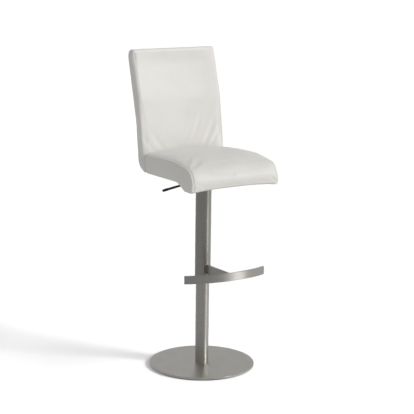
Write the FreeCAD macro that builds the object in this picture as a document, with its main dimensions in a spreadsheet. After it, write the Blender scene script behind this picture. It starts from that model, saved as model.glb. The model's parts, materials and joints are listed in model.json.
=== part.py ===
"""Upholstered bar stool on a gas-lift column: a swivelling, height-adjustable high chair.

Frame: +Z up, origin at the centre of the base on the floor. The sitter faces -Y and the
height lever is on the sitter's right, towards -X. Millimetres. The stool stands at its
highest setting.
"""
import FreeCAD, Part
import math
import os
import re
import Sketcher

os.makedirs("parts", exist_ok=True)
doc = FreeCAD.newDocument("BarStool")

# ---------------------------------------------------------------- driving dimensions

DIMENSIONS = [
    # alias, value, meaning
    ("base_radius", 225, "outer radius of the round base"),
    ("cover_sheet", 1.5, "sheet thickness of the base cover"),
    ("pad_thickness", 4, "rubber pad under the base"),
    ("pad_radius", 219, "the pad is set back from the rim"),
    ("base_top", 12, "top face of the base above the floor"),
    ("base_edge_radius", 1.6, "rounding of the base cover's rim"),
    ("base_hole_radius", 23, "hole in the base cover, under the tube"),
    ("tube_radius", 28.5, "outer radius of the fixed lower tube"),
    ("tube_bore", 26, "inner radius of the fixed lower tube"),
    ("tube_top", 486, "top end of the lower tube"),
    ("foot_ring_top", 24, "top of the threaded ring in the tube's foot"),
    ("foot_ring_bore", 8, "centre hole of the threaded ring"),
    ("base_screw_circle", 17, "radius of the base screws' circle"),
    ("base_screw_radius", 4, "M8 screw shank"),
    ("base_screw_head", 8, "countersunk head radius"),
    ("weld_gap", 0.05, "gap between pieces that are welded or pressed together"),
    ("run_gap", 0.06, "radial clearance of a running fit"),
    ("bush_bottom", 446, "lower end of the guide bush in the tube's top"),
    ("bush_top", 492, "upper end of the guide bush"),
    ("support_bottom", 88, "underside of the disc that carries the gas spring"),
    ("support_top", 94, "top of that disc"),
    ("support_hole", 9, "hole in that disc"),
    ("race_thickness", 3, "each race of the thrust bearing"),
    ("race_inner", 6, "inner radius of the races"),
    ("race_outer", 16, "outer radius of the races"),
    ("ball_radius", 1.45, "thrust bearing ball"),
    ("ball_circle", 11.5, "radius of the circle of balls"),
    ("rod_radius", 5, "gas spring piston rod"),
    ("rod_end_radius", 4, "stepped lower end of the rod"),
    ("rod_shoulder", 103, "where the step in the rod sits on the bearing"),
    ("rod_foot", 78, "lower end of the rod"),
    ("rod_top", 455, "upper end of the rod, at the piston"),
    ("clip_bottom", 84.3, "underside of the retaining clip"),
    ("clip_thickness", 1.4, "retaining clip"),
    ("clip_groove_radius", 3.3, "groove in the rod end"),
    ("piston_length", 15, "piston"),
    ("stop_length", 22, "rubber bump stop on the rod"),
    ("cylinder_radius", 14, "gas spring cylinder outside"),
    ("cylinder_bore", 12, "gas spring cylinder inside"),
    ("cylinder_foot", 415, "lower end of the cylinder"),
    ("cylinder_chamber", 715, "upper end of the gas chamber"),
    ("cylinder_top", 803, "top of the tapered end"),
    ("taper_start", 745, "where the taper begins"),
    ("taper_top_radius", 12.48, "radius at the top of the taper"),
    ("guide_length", 22, "rod guide in the cylinder's foot"),
    ("pin_radius", 3, "release pin"),
    ("pin_bottom", 768, "lower end of the release pin"),
    ("pin_top", 809.8, "upper end of the release pin"),
    ("pin_bore_depth", 763, "floor of the release pin's bore"),
    ("sleeve_radius", 33.5, "outer radius of the moving upper sleeve"),
    ("sleeve_bore", 31.5, "inner radius of the upper sleeve"),
    ("sleeve_bottom", 375, "lower end of the upper sleeve"),
    ("sleeve_top", 790, "upper end of the upper sleeve"),
    ("sleeve_bush_length", 30, "nylon bush in the sleeve's foot"),
    ("flange_thickness", 8, "threaded ring welded in the sleeve's top"),
    ("socket_radius", 22.5, "tapered hub that holds the gas spring"),
    ("socket_top", 796, "top of the tapered hub"),
    ("footrest_top", 458, "top edge of the footrest"),
    ("footrest_height", 34, "height of the flat footrest bar"),
    ("footrest_bar_thickness", 8, "thickness of the footrest bar"),
    ("footrest_half_span", 191, "half the footrest's width"),
    ("footrest_bow", 39, "how far the footrest bows forward of its ends"),
    ("footrest_reach", 230, "front of the footrest ahead of the column's axis"),
    ("footrest_turn", -4.6, "the footrest is set a little askew to the seat, degrees"),
    ("arm_root_top", 451, "top of the arm where it meets the sleeve"),
    ("arm_root_bottom", 410, "bottom of the arm where it meets the sleeve"),
    ("arm_pad_width", 22, "pad that joins the arm to the sleeve"),
    ("arm_pad_reach", 38, "front of that pad ahead of the column's axis"),
    ("footrest_end_radius", 3.2, "rounding of the bar's ends"),
    ("sheet_steel", 3, "sheet thickness of the seat mechanism"),
    ("pan_half_width", 70, "outside of the mechanism pan's walls"),
    ("pan_flange_reach", 100, "outer edge of the pan's flanges"),
    ("pan_half_length", 75, "half the pan's length"),
    ("window_half_width", 9, "window for the lever in the pan's wall"),
    ("window_bottom", 793, "lower edge of that window"),
    ("window_top", 822, "upper edge of that window"),
    ("rail_bottom", 844, "underside of the cross rails"),
    ("rail_thickness", 6, "cross rails"),
    ("rail_width", 40, "cross rails"),
    ("rail_offset", 60, "cross rails ahead of and behind the column"),
    ("bolt_offset", 87, "mechanism bolts to each side of the column"),
    ("bolt_radius", 4, "M8 bolts"),
    ("hex_radius", 7.5, "corner radius of M8 heads and nuts"),
    ("bolt_head_height", 5.3, "M8 head"),
    ("nut_height", 6.5, "M8 nut"),
    ("frame_tube_radius", 8, "tube of the seat and back frame"),
    ("frame_half_width", 170, "centre of the frame's side tubes"),
    ("frame_level", 858, "centre of the frame's tubes in the seat"),
    ("frame_front", -185, "centre of the frame's front tube"),
    ("frame_bend", 34, "bend radius of the frame tube"),
    ("strap_thickness", 2, "elastic webbing"),
    ("strap_width", 45, "elastic webbing"),
    ("lever_pivot_x", -42, "lever pivot from the column's axis"),
    ("lever_pivot_z", 809.4, "lever pivot height"),
    ("lever_slope", 9.2, "the lever falls towards its tip, degrees"),
    ("lever_length", 164, "pivot to tip"),
    ("lever_rod_radius", 5, "lever rod"),
    ("lever_cap_radius", 5.6, "moulded tip of the lever"),
    ("lever_cap_length", 26, "moulded tip of the lever"),
    ("cam_half_height", 6, "flat inner end of the lever"),
    ("cam_thickness", 8, "flat inner end of the lever"),
    ("cam_outer_end", 16, "cam beyond the pivot, towards the tip"),
    ("cam_inner_end", 50, "cam beyond the pivot, over the release pin"),
    ("pivot_radius", 3, "lever pivot pin"),
    ("leather", 3.5, "leather with its fleece backing"),
    ("seat_half_width", 214, "half the seat's width"),
    ("seat_bottom", 840, "underside of the seat"),
    ("seat_crown", 919, "top of the seat"),
    ("seat_front", -240, "front of the seat"),
    ("back_half_width", 203, "half the back's width"),
    ("back_top", 1346, "top of the back"),
    ("panel_thickness", 1.5, "black underside panel"),
]

sheet = doc.addObject("Spreadsheet::Sheet", "Dimensions")
for row, (alias, number, meaning) in enumerate(DIMENSIONS, start=1):
    sheet.set(f"A{row}", alias)
    sheet.set(f"B{row}", str(number))
    sheet.set(f"C{row}", meaning)
    sheet.setAlias(f"B{row}", alias)
doc.recompute()

ALIASES = {alias for alias, number, meaning in DIMENSIONS}


# ---------------------------------------------------------------- small tools

def formula(text):
    """Write a formula of sheet names so that any object can be bound to it."""
    def sheet_name(word):
        return "Dimensions." + word[0] if word[0] in ALIASES else word[0]

    return re.sub(r"[a-z_]+", sheet_name, str(text))


def value(text):
    """The present value of a formula."""
    return float(sheet.evalExpression(formula(text)))


def bind(thing, **sizes):
    """Bind properties to formulas, such as Radius="tube_radius"."""
    for name, text in sizes.items():
        thing.setExpression(name, formula(text))
    return thing


def put(thing, x=0, y=0, z=0, turn=None):
    """Place an object, with its position bound to the sheet."""
    rotation = turn if turn else FreeCAD.Rotation()
    thing.Placement = FreeCAD.Placement(FreeCAD.Vector(value(x), value(y), value(z)), rotation)
    for axis, text in (("x", x), ("y", y), ("z", z)):
        thing.setExpression("Placement.Base." + axis, formula(text))
    return thing


def origin_plane(body, role):
    return next(item for item in body.Origin.OriginFeatures if item.Role == role)


def new_body(label):
    body = doc.addObject("PartDesign::Body", label)
    body.Label = label
    return body


def new_sketch(body, name, role, shift=None):
    """A sketch on one of the body's own planes, moved along its normal by shift."""
    sketch = body.newObject("Sketcher::SketchObject", f"{body.Name}_{name}")
    sketch.AttachmentSupport = (origin_plane(body, role), [""])
    sketch.MapMode = "FlatFace"
    if shift is not None:
        sketch.setExpression("AttachmentOffset.Base.z", formula(shift))
    return sketch


def draw_outline(sketch, corners):
    """A closed outline of straight sides; every corner is bound to the sheet."""
    points = [FreeCAD.Vector(value(x), value(y), 0) for x, y in corners]
    first = sketch.GeometryCount
    for start, end in zip(points, points[1:] + points[:1]):
        sketch.addGeometry(Part.LineSegment(start, end), False)
    for i in range(len(points)):
        after = first + (i + 1) % len(points)
        sketch.addConstraint(Sketcher.Constraint("Coincident", first + i, 2, after, 1))
    for i, (x, y) in enumerate(corners):
        for kind, text, size in (("DistanceX", x, points[i].x), ("DistanceY", y, points[i].y)):
            index = sketch.addConstraint(Sketcher.Constraint(kind, -1, 1, first + i, 1, size))
            sketch.setExpression(f"Constraints[{index}]", formula(text))


def draw_circles(sketch, centres, radius):
    """Equal circles at given centres, bound to the sheet."""
    for x, y in centres:
        centre = FreeCAD.Vector(value(x), value(y), 0)
        circle = sketch.addGeometry(Part.Circle(centre, FreeCAD.Vector(0, 0, 1), value(radius)), False)
        index = sketch.addConstraint(Sketcher.Constraint("Radius", circle, value(radius)))
        sketch.setExpression(f"Constraints[{index}]", formula(radius))
        for kind, text, size in (("DistanceX", x, centre.x), ("DistanceY", y, centre.y)):
            index = sketch.addConstraint(Sketcher.Constraint(kind, -1, 1, circle, 3, size))
            sketch.setExpression(f"Constraints[{index}]", formula(text))


def turned(label, corners, degrees=360):
    """A piece turned about +Z from an outline of (radius, height) corners."""
    body = new_body(label)
    role = "XZ_Plane" if degrees == 360 else "YZ_Plane"
    sketch = new_sketch(body, "profile", role)
    draw_outline(sketch, corners)
    turn = body.newObject("PartDesign::Revolution", f"{label}_turn")
    turn.Profile = sketch
    turn.ReferenceAxis = (sketch, ["V_Axis"])
    turn.Midplane = degrees != 360
    bind(turn, Angle=degrees)
    return body


def tube(label, inner, outer, bottom, top):
    """A plain ring or tube about the column's axis."""
    return turned(label, [(inner, bottom), (outer, bottom), (outer, top), (inner, top)])


def padded(label, role, corners, length, shift=None, midplane=False):
    """A piece with one outline pulled straight out of an origin plane."""
    body = new_body(label)
    sketch = new_sketch(body, "profile", role, shift)
    draw_outline(sketch, corners)
    pad = body.newObject("PartDesign::Pad", f"{label}_pad")
    pad.Profile = sketch
    pad.Midplane = midplane
    bind(pad, Length=length)
    return body


def pierce(body, name, role, centres, radius, shift=None, one_way=False):
    """Drill equal round holes through the body, along the plane's normal."""
    doc.recompute()
    before = body.Shape.Volume
    sketch = new_sketch(body, name, role, shift)
    draw_circles(sketch, centres, radius)
    pocket = body.newObject("PartDesign::Pocket", f"{body.Name}_{name}_pocket")
    pocket.Profile = sketch
    pocket.Type = "ThroughAll"
    pocket.Midplane = not one_way
    doc.recompute()
    if body.Shape.Volume > before - 1e-3:
        pocket.Reversed = True
        doc.recompute()
    if body.Shape.Volume > before - 1e-3:
        raise SystemExit(f"{body.Name}: {name} cuts nothing")
    return body


def round_edges(body, name, radius, wanted):
    """Fillet the body's edges that pass the test."""
    doc.recompute()
    edges = [f"Edge{i}" for i, edge in enumerate(body.Shape.Edges, start=1) if wanted(edge)]
    if not edges:
        raise SystemExit(f"{body.Name}: no edge to round for {name}")
    base = body.Tip
    fillet = body.newObject("PartDesign::Fillet", f"{body.Name}_{name}")
    fillet.Base = (base, edges)
    bind(fillet, Radius=radius)
    doc.recompute()
    return body


def block(name, size_x, size_y, size_z, x, y, z):
    """A box with its low corner at x, y, z."""
    thing = bind(doc.addObject("Part::Box", name), Length=size_x, Width=size_y, Height=size_z)
    return put(thing, x, y, z)


def rod(name, radius, height, x=0, y=0, z=0, turn=None):
    thing = bind(doc.addObject("Part::Cylinder", name), Radius=radius, Height=height)
    return put(thing, x, y, z, turn)


def hexagon(name, radius, height, x, y, z):
    thing = bind(doc.addObject("Part::Prism", name), Circumradius=radius, Height=height)
    thing.Polygon = 6
    return put(thing, x, y, z)


def fuse(name, pieces):
    thing = doc.addObject("Part::MultiFuse", name)
    thing.Shapes = pieces
    return thing


def cut(label, base, tool):
    thing = doc.addObject("Part::Cut", label)
    thing.Label = label
    thing.Base = base
    thing.Tool = tool
    return thing


def group(label, pieces):
    """Separate equal solids that share one node."""
    thing = doc.addObject("Part::Compound", label)
    thing.Label = label
    thing.Links = pieces
    return thing


def circle_points(count, radius, start=0.0):
    """Centres evenly spaced on a circle, as pairs of formulas."""
    angles = [start + 360.0 * i / count for i in range(count)]
    return [(f"{radius} * cos({angle} deg)", f"{radius} * sin({angle} deg)") for angle in angles]


CORNERS = [(sx, sy) for sx in (-1, 1) for sy in (-1, 1)]
ALONG_Y = FreeCAD.Rotation(FreeCAD.Vector(1, 0, 0), -90)
nodes = []


def keep(*things):
    nodes.extend(things)


# ---------------------------------------------------------------- base

def make_base():
    """Rubber pad, steel weight disc and the stainless cover that hides it."""
    pad = rod("floor_pad", "pad_radius", "pad_thickness")
    screw_places = circle_points(4, "base_screw_circle", 45)

    disc_top = "base_top - cover_sheet"
    disc_radius = "base_radius - cover_sheet - 0.5"
    head_depth = "base_screw_head - base_screw_radius"
    solid_disc = rod("weight_disc", disc_radius, f"{disc_top} - pad_thickness", z="pad_thickness")
    countersinks = []
    for i, (x, y) in enumerate(screw_places):
        sink = doc.addObject("Part::Cone", f"countersink_{i}")
        bind(sink, Radius1="base_screw_head + 0.3", Radius2="base_screw_radius + 0.3", Height=head_depth)
        put(sink, x, y, "pad_thickness")
        countersinks.append(sink)
        countersinks.append(rod(f"screw_hole_{i}", "base_screw_radius + 0.3", "base_top", x, y, 0))
    weight = cut("base_weight", solid_disc, fuse("base_holes", countersinks))

    cover = turned("base_cover", [
        ("base_hole_radius + 2", disc_top),
        ("base_radius - cover_sheet", disc_top),
        ("base_radius - cover_sheet", "pad_thickness"),
        ("base_radius", "pad_thickness"),
        ("base_radius", "base_top"),
        ("base_hole_radius + 2", "base_top"),
    ])
    rim_height = value("base_top")
    rim_radius = value("base_radius")
    round_edges(cover, "rim", "base_edge_radius", lambda edge: (
        abs(edge.BoundBox.ZMin - rim_height) < 0.01 and abs(edge.BoundBox.XMax - rim_radius) < 0.01
        and abs(edge.BoundBox.ZMax - rim_height) < 0.01))

    screws = []
    for i, (x, y) in enumerate(screw_places):
        head = doc.addObject("Part::Cone", f"screw_head_{i}")
        bind(head, Radius1="base_screw_head", Radius2="base_screw_radius", Height=head_depth)
        put(head, x, y, "pad_thickness + 0.3")
        shank = rod(f"screw_shank_{i}", "base_screw_radius", "foot_ring_top - pad_thickness - 2",
                    x, y, "pad_thickness + 0.3")
        screws.append(fuse(f"base_screw_{i}", [head, shank]))
    keep(pad, weight, cover, group("base_screws", screws))
    return screw_places


def make_lower_tube(screw_places):
    """Fixed tube with its threaded foot, the disc that carries the gas spring and the top bush."""
    lower = tube("column_tube", "tube_bore", "tube_radius", "base_top", "tube_top")

    ring = tube("tube_foot_ring", "foot_ring_bore", "tube_bore - weld_gap", "base_top", "foot_ring_top")
    pierce(ring, "threads", "XY_Plane", screw_places, "base_screw_radius + weld_gap")

    bush = turned("tube_top_bush", [
        ("cylinder_radius + run_gap", "bush_bottom"),
        ("tube_bore - weld_gap", "bush_bottom"),
        ("tube_bore - weld_gap", "tube_top"),
        ("sleeve_bore - run_gap", "tube_top"),
        ("sleeve_bore - run_gap", "bush_top"),
        ("cylinder_radius + run_gap", "bush_top"),
    ])
    disc = tube("rod_support_disc", "support_hole", "tube_bore - weld_gap", "support_bottom", "support_top")
    race = tube("bearing_lower_race", "race_inner", "race_outer",
                "support_top", "support_top + race_thickness")
    keep(lower, ring, bush, disc, race)


# ---------------------------------------------------------------- gas spring

def make_gas_rod():
    """Piston rod that turns in the base on a ball thrust bearing, held by a washer and a clip."""
    groove_bottom = "clip_bottom - 0.1"
    groove_top = "clip_bottom + clip_thickness + 0.1"
    shaft = turned("gas_rod", [
        (0, "rod_foot"),
        ("rod_end_radius", "rod_foot"),
        ("rod_end_radius", groove_bottom),
        ("clip_groove_radius", groove_bottom),
        ("clip_groove_radius", groove_top),
        ("rod_end_radius", groove_top),
        ("rod_end_radius", "rod_shoulder"),
        ("rod_radius", "rod_shoulder"),
        ("rod_radius", "rod_top"),
        (0, "rod_top"),
    ])
    piston = tube("gas_piston", "rod_radius + weld_gap", "cylinder_bore - run_gap",
                  "rod_top - piston_length", "rod_top")
    upper_race = tube("bearing_upper_race", "rod_end_radius + weld_gap", "race_outer",
                      "rod_shoulder - race_thickness", "rod_shoulder")
    race_top = "support_top + race_thickness"
    ball_level = "rod_shoulder - race_thickness - ball_radius"
    balls = []
    for i, (x, y) in enumerate(circle_points(10, "ball_circle")):
        ball = bind(doc.addObject("Part::Sphere", f"ball_{i}"), Radius="ball_radius")
        balls.append(put(ball, x, y, ball_level))
    cage_ring = tube("cage_ring", "ball_circle - 3", "ball_circle + 3",
                     f"{race_top} + 0.8", f"{race_top} + 2.2")
    pockets = [rod(f"cage_pocket_{i}", "ball_radius + 0.1", 8, x, y, race_top)
               for i, (x, y) in enumerate(circle_points(10, "ball_circle"))]
    cage = cut("bearing_cage", cage_ring, fuse("cage_pockets", pockets))
    washer = tube("rod_washer", "rod_end_radius + weld_gap", "support_hole + 3",
                  "clip_bottom + clip_thickness + 0.2", "support_bottom - 0.1")
    clip = tube("rod_clip", "clip_groove_radius + weld_gap", "rod_end_radius * 2",
                "clip_bottom", "clip_bottom + clip_thickness")
    stop = tube("bump_stop", "rod_radius + weld_gap", "rod_radius + 6",
                "rod_shoulder", "rod_shoulder + stop_length")
    keep(shaft, piston, upper_race, group("bearing_balls", balls), cage, washer, clip, stop)


def make_gas_cylinder():
    """Cylinder that rises with the seat, its rod guide and the pin that opens its valve."""
    cylinder = turned("gas_cylinder", [
        ("cylinder_bore", "cylinder_foot"),
        ("cylinder_radius", "cylinder_foot"),
        ("cylinder_radius", "taper_start"),
        ("taper_top_radius", "cylinder_top"),
        ("pin_radius + run_gap", "cylinder_top"),
        ("pin_radius + run_gap", "pin_bore_depth"),
        (0, "pin_bore_depth"),
        (0, "cylinder_chamber"),
        ("cylinder_bore", "cylinder_chamber"),
    ])
    guide = tube("gas_rod_guide", "rod_radius + run_gap", "cylinder_bore - weld_gap",
                 "cylinder_foot", "cylinder_foot + guide_length")
    pin = turned("release_pin", [
        (0, "pin_bottom"),
        ("pin_radius", "pin_bottom"),
        ("pin_radius", "pin_top - 1"),
        ("pin_radius - 1", "pin_top"),
        (0, "pin_top"),
    ])
    keep(cylinder, guide, pin)


# ---------------------------------------------------------------- moving sleeve and footrest

def make_sleeve():
    """Upper tube that slides and turns over the lower one, with its bush and threaded ring."""
    sleeve = tube("column_sleeve", "sleeve_bore", "sleeve_radius", "sleeve_bottom", "sleeve_top")
    bush = tube("sleeve_bush", "tube_radius + run_gap", "sleeve_bore - weld_gap",
                "sleeve_bottom", "sleeve_bottom + sleeve_bush_length")
    screw_circle = "(socket_radius + sleeve_bore) / 2"
    places = circle_points(3, screw_circle, 30)
    flange = tube("sleeve_flange", "socket_radius + weld_gap", "sleeve_bore - weld_gap",
                  "sleeve_top - flange_thickness", "sleeve_top")
    pierce(flange, "threads", "XY_Plane", places, "2.5 + weld_gap")
    screws = []
    for i, (x, y) in enumerate(places):
        head = rod(f"flange_screw_head_{i}", 4.2, 3, x, y, "sleeve_top + sheet_steel")
        shank = rod(f"flange_screw_shank_{i}", 2.5, "flange_thickness + sheet_steel",
                    x, y, "sleeve_top - flange_thickness")
        screws.append(fuse(f"flange_screw_{i}", [head, shank]))
    keep(sleeve, bush, flange, group("sleeve_flange_screws", screws))
    return places


def make_footrest():
    """Flat bar bowed forward, standing on edge, on a tapering arm with a pad at the sleeve."""
    half_span = value("footrest_half_span")
    bow = value("footrest_bow")
    arc_radius = (half_span ** 2 + bow ** 2) / (2 * bow)
    arc = "(footrest_half_span ^ 2 + footrest_bow ^ 2) / (2 * footrest_bow)"
    half_angle = math.degrees(math.asin(half_span / arc_radius))
    low = "footrest_top - footrest_height"
    inner = f"-({arc} - footrest_bar_thickness)"
    bar = turned("footrest_bar", [
        (f"-({arc})", low),
        (inner, low),
        (inner, "footrest_top"),
        (f"-({arc})", "footrest_top"),
    ], degrees=2 * half_angle)
    askew = FreeCAD.Rotation(FreeCAD.Vector(0, 0, 1), value("footrest_turn"))
    put(bar, x=f"-sin(footrest_turn) * ({arc} - footrest_reach)",
        y=f"cos(footrest_turn) * ({arc} - footrest_reach)", turn=askew)
    round_edges(bar, "ends", "footrest_end_radius", lambda edge: (
        len(edge.Vertexes) == 2 and edge.BoundBox.ZLength > 30
        and edge.BoundBox.XLength + edge.BoundBox.YLength < 0.01))

    arm_front = "footrest_reach - footrest_bar_thickness - weld_gap"
    plate = padded("arm_plate", "YZ_Plane", [
        (0, "arm_root_bottom"), ("-sleeve_radius", "arm_root_bottom"), (f"-({arm_front})", low),
        (f"-({arm_front})", "footrest_top"), ("-sleeve_radius", "arm_root_top"), (0, "arm_root_top"),
    ], "footrest_bar_thickness", midplane=True)
    pad_height = "arm_root_top - arm_root_bottom"
    pad = block("arm_pad", "arm_pad_width", "arm_pad_reach", pad_height,
                "-arm_pad_width / 2", "-arm_pad_reach", "arm_root_bottom")
    notch = rod("arm_notch", "sleeve_radius", f"{pad_height} + 2", z="arm_root_bottom - 1")
    arm = cut("footrest_arm", fuse("arm_with_pad", [plate, pad]), notch)
    put(arm, turn=askew)
    keep(bar, arm)


# ---------------------------------------------------------------- seat mechanism

def make_mechanism(flange_places):
    """Folded steel pan bolted under the seat, with the tapered socket for the gas spring."""
    floor = "sleeve_top"
    wall = "pan_half_width"
    inner = f"{wall} - sheet_steel"
    lip = "rail_bottom - sheet_steel"
    pan = padded("mechanism_pan", "XZ_Plane", [
        (f"-({wall})", floor), (wall, floor), (wall, lip), ("pan_flange_reach", lip),
        ("pan_flange_reach", "rail_bottom"), (inner, "rail_bottom"),
        (inner, f"{floor} + sheet_steel"), (f"-({inner})", f"{floor} + sheet_steel"),
        (f"-({inner})", "rail_bottom"), ("-pan_flange_reach", "rail_bottom"),
        ("-pan_flange_reach", lip), (f"-({wall})", lip),
    ], "2 * pan_half_length", midplane=True)
    pierce(pan, "hub_hole", "XY_Plane", [(0, 0)], "socket_radius + weld_gap")
    pierce(pan, "flange_screw_holes", "XY_Plane", flange_places, "2.5 + weld_gap")
    bolt_places = [(f"{sx} * bolt_offset", f"{sy} * rail_offset") for sx, sy in CORNERS]
    pierce(pan, "bolt_holes", "XY_Plane", bolt_places, "bolt_radius + weld_gap")
    # the lever's window in the wall on the sitter's right: y, z in the wall's own plane
    doc.recompute()
    before = pan.Shape.Volume
    sketch = new_sketch(pan, "lever_window", "YZ_Plane")
    draw_outline(sketch, [
        ("-window_half_width", "window_bottom"), ("window_half_width", "window_bottom"),
        ("window_half_width", "window_top"), ("-window_half_width", "window_top"),
    ])
    window = pan.newObject("PartDesign::Pocket", "mechanism_pan_window")
    window.Profile = sketch
    window.Type = "ThroughAll"
    doc.recompute()
    if pan.Shape.BoundBox.XMin > -value("pan_flange_reach") + 1 or pan.Shape.Volume > before - 1:
        raise SystemExit("the lever window cuts nothing")
    if pan.Shape.isInside(FreeCAD.Vector(-value(wall) + 1, 0, 805), 0.01, True):
        window.Reversed = True

    socket = turned("gas_socket", [
        ("cylinder_radius + weld_gap", "taper_start"),
        ("socket_radius", "taper_start"),
        ("socket_radius", "socket_top"),
        ("taper_top_radius + weld_gap + 0.19", "socket_top"),
    ])

    bolts = []
    nuts = []
    rail_top = "rail_bottom + rail_thickness"
    for i, (x, y) in enumerate(bolt_places):
        head = hexagon(f"bolt_head_{i}", "hex_radius", "bolt_head_height", x, y,
                       f"{lip} - bolt_head_height")
        shank = rod(f"bolt_shank_{i}", "bolt_radius", f"{rail_top} + 8 - ({lip})", x, y, lip)
        bolts.append(fuse(f"mechanism_bolt_{i}", [head, shank]))
        blank = hexagon(f"nut_blank_{i}", "hex_radius", "nut_height", x, y, rail_top)
        thread = rod(f"nut_thread_{i}", "bolt_radius + weld_gap", 10, x, y, rail_top)
        nuts.append(cut(f"nut_{i}", blank, thread))
    keep(pan, socket, group("mechanism_bolts", bolts), group("mechanism_nuts", nuts))

    rails = []
    for side, sign in (("front", -1), ("rear", 1)):
        rail = block(f"{side}_rail", "2 * frame_half_width", "rail_width", "rail_thickness",
                     "-frame_half_width", f"{sign} * rail_offset - rail_width / 2", "rail_bottom")
        holes = [rod(f"{side}_rail_hole_{i}", "bolt_radius + weld_gap", 10, f"{sx} * bolt_offset",
                     f"{sign} * rail_offset", "rail_bottom - 2") for i, sx in enumerate((-1, 1))]
        rails.append(cut(f"{side}_cross_rail", rail, fuse(f"{side}_rail_holes", holes)))
    keep(group("cross_rails", rails))


def make_lever():
    """Height lever: a flat cam over the release pin, a rod and a moulded tip, on a bracket."""
    slope = FreeCAD.Rotation(FreeCAD.Vector(0, 1, 0), -value("lever_slope"))
    pivot = dict(x="lever_pivot_x", z="lever_pivot_z", turn=slope)

    cam = padded("lever_cam", "XZ_Plane", [
        ("-cam_outer_end", "-cam_half_height"), ("cam_inner_end", "-cam_half_height"),
        ("cam_inner_end", "cam_half_height"), ("-cam_outer_end", "cam_half_height"),
    ], "cam_thickness", midplane=True)
    pierce(cam, "pivot_hole", "XZ_Plane", [(0, 0)], "pivot_radius + run_gap")
    inner_end = value("cam_inner_end")
    round_edges(cam, "nose", "cam_half_height - 1.5", lambda edge: (
        edge.BoundBox.XMin > inner_end - 0.01 and edge.BoundBox.YLength > 7))
    put(cam, **pivot)

    bar = turned("lever_rod", [
        (0, "cam_outer_end"), ("lever_rod_radius", "cam_outer_end"),
        ("lever_rod_radius", "lever_length - lever_cap_length"),
        ("lever_rod_radius - 1", "lever_length - lever_cap_length"),
        ("lever_rod_radius - 1", "lever_length - 6"), (0, "lever_length - 6"),
    ])
    tip = turned("lever_end_cap", [
        ("lever_rod_radius - 1 + weld_gap", "lever_length - lever_cap_length"),
        ("lever_cap_radius", "lever_length - lever_cap_length"),
        ("lever_cap_radius", "lever_length"), (0, "lever_length"),
        (0, "lever_length - 6 + weld_gap"),
        ("lever_rod_radius - 1 + weld_gap", "lever_length - 6 + weld_gap"),
    ])
    tip_end = value("lever_length")
    round_edges(tip, "tip", "lever_cap_radius - 0.6", lambda edge: (
        edge.BoundBox.ZMin > tip_end - 0.01 and edge.BoundBox.XLength > 5))
    towards_tip = FreeCAD.Rotation(FreeCAD.Vector(0, 1, 0), -90 - value("lever_slope"))
    for piece in (bar, tip):
        put(piece, x="lever_pivot_x", z="lever_pivot_z", turn=towards_tip)

    half = "cam_thickness / 2 + 0.6"
    outer = f"{half} + sheet_steel"
    floor = "sleeve_top + sheet_steel"
    bracket = padded("lever_bracket", "YZ_Plane", [
        (f"-({outer})", floor), (outer, floor), (outer, "lever_pivot_z + 9"),
        (half, "lever_pivot_z + 9"), (half, f"{floor} + 2"), (f"-({half})", f"{floor} + 2"),
        (f"-({half})", "lever_pivot_z + 9"), (f"-({outer})", "lever_pivot_z + 9"),
    ], 18, shift="lever_pivot_x - 9")
    pierce(bracket, "pin_holes", "XZ_Plane", [("lever_pivot_x", "lever_pivot_z")],
           "pivot_radius + weld_gap")
    axle = rod("lever_pivot_pin", "pivot_radius", f"2 * ({outer}) + 3", "lever_pivot_x",
               f"-({outer}) - 1.5", "lever_pivot_z", ALONG_Y)
    keep(cam, bar, tip, bracket, axle)


# ---------------------------------------------------------------- seat and back

# Side outlines of the two cushions, as (y, z) corners; the rounding of each corner follows.
SEAT_OUTLINE = [
    (("120", "seat_bottom"), 3),
    (("-126", "seat_bottom"), 40),
    (("-182", "seat_bottom - 30"), 22),
    (("seat_front", "seat_bottom - 31"), 11),
    (("seat_front", "seat_bottom + 8"), 60),
    (("seat_front + 34", "seat_crown - 27"), 60),
    (("-100", "seat_crown"), 150),
    (("136", "seat_crown - 5"), 16),
    (("138", "868"), 30),
]
BACK_OUTLINE = [
    (("124", "838"), 1.5),
    (("151", "838"), 45),
    (("191", "862"), 45),
    (("211", "1042"), 300),
    (("281", "1316"), 20),
    (("275", "back_top"), 15),
    (("243", "back_top"), 14),
    (("235", "1296"), 200),
    (("189", "1136"), 200),
    (("157", "915"), 90),
    (("142", "862"), 30),
]


def cushion(name, outline, half_width):
    """A prism of the side outline, its corners rounded."""
    body = padded(name, "YZ_Plane", [corner for corner, radius in outline],
                  f"2 * {half_width}", midplane=True)
    for i, ((y, z), radius) in enumerate(outline):
        at_y = value(y)
        at_z = value(z)
        round_edges(body, f"corner_{i}", radius, lambda edge: (
            edge.BoundBox.XLength > 100 and edge.BoundBox.YLength < 0.01
            and abs(edge.BoundBox.YMin - at_y) < 0.01 and abs(edge.BoundBox.ZMin - at_z) < 0.01))
    return body


def shrunk(name, source, distance):
    """The same form, smaller all round."""
    thing = doc.addObject("Part::Offset", name)
    thing.Source = source
    thing.Mode = "Skin"
    thing.Join = "Arc"
    thing.Intersection = True
    bind(thing, Value=f"-({distance})")
    return thing


def back_middle(height):
    """Middle of the back cushion's thickness at a height."""
    line = [(858, 160), (925, 179), (1052, 194), (1318, 262)]
    for (z0, y0), (z1, y1) in zip(line, line[1:]):
        if height <= z1:
            return y0 + (y1 - y0) * (height - z0) / (z1 - z0)
    return line[-1][1]


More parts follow.
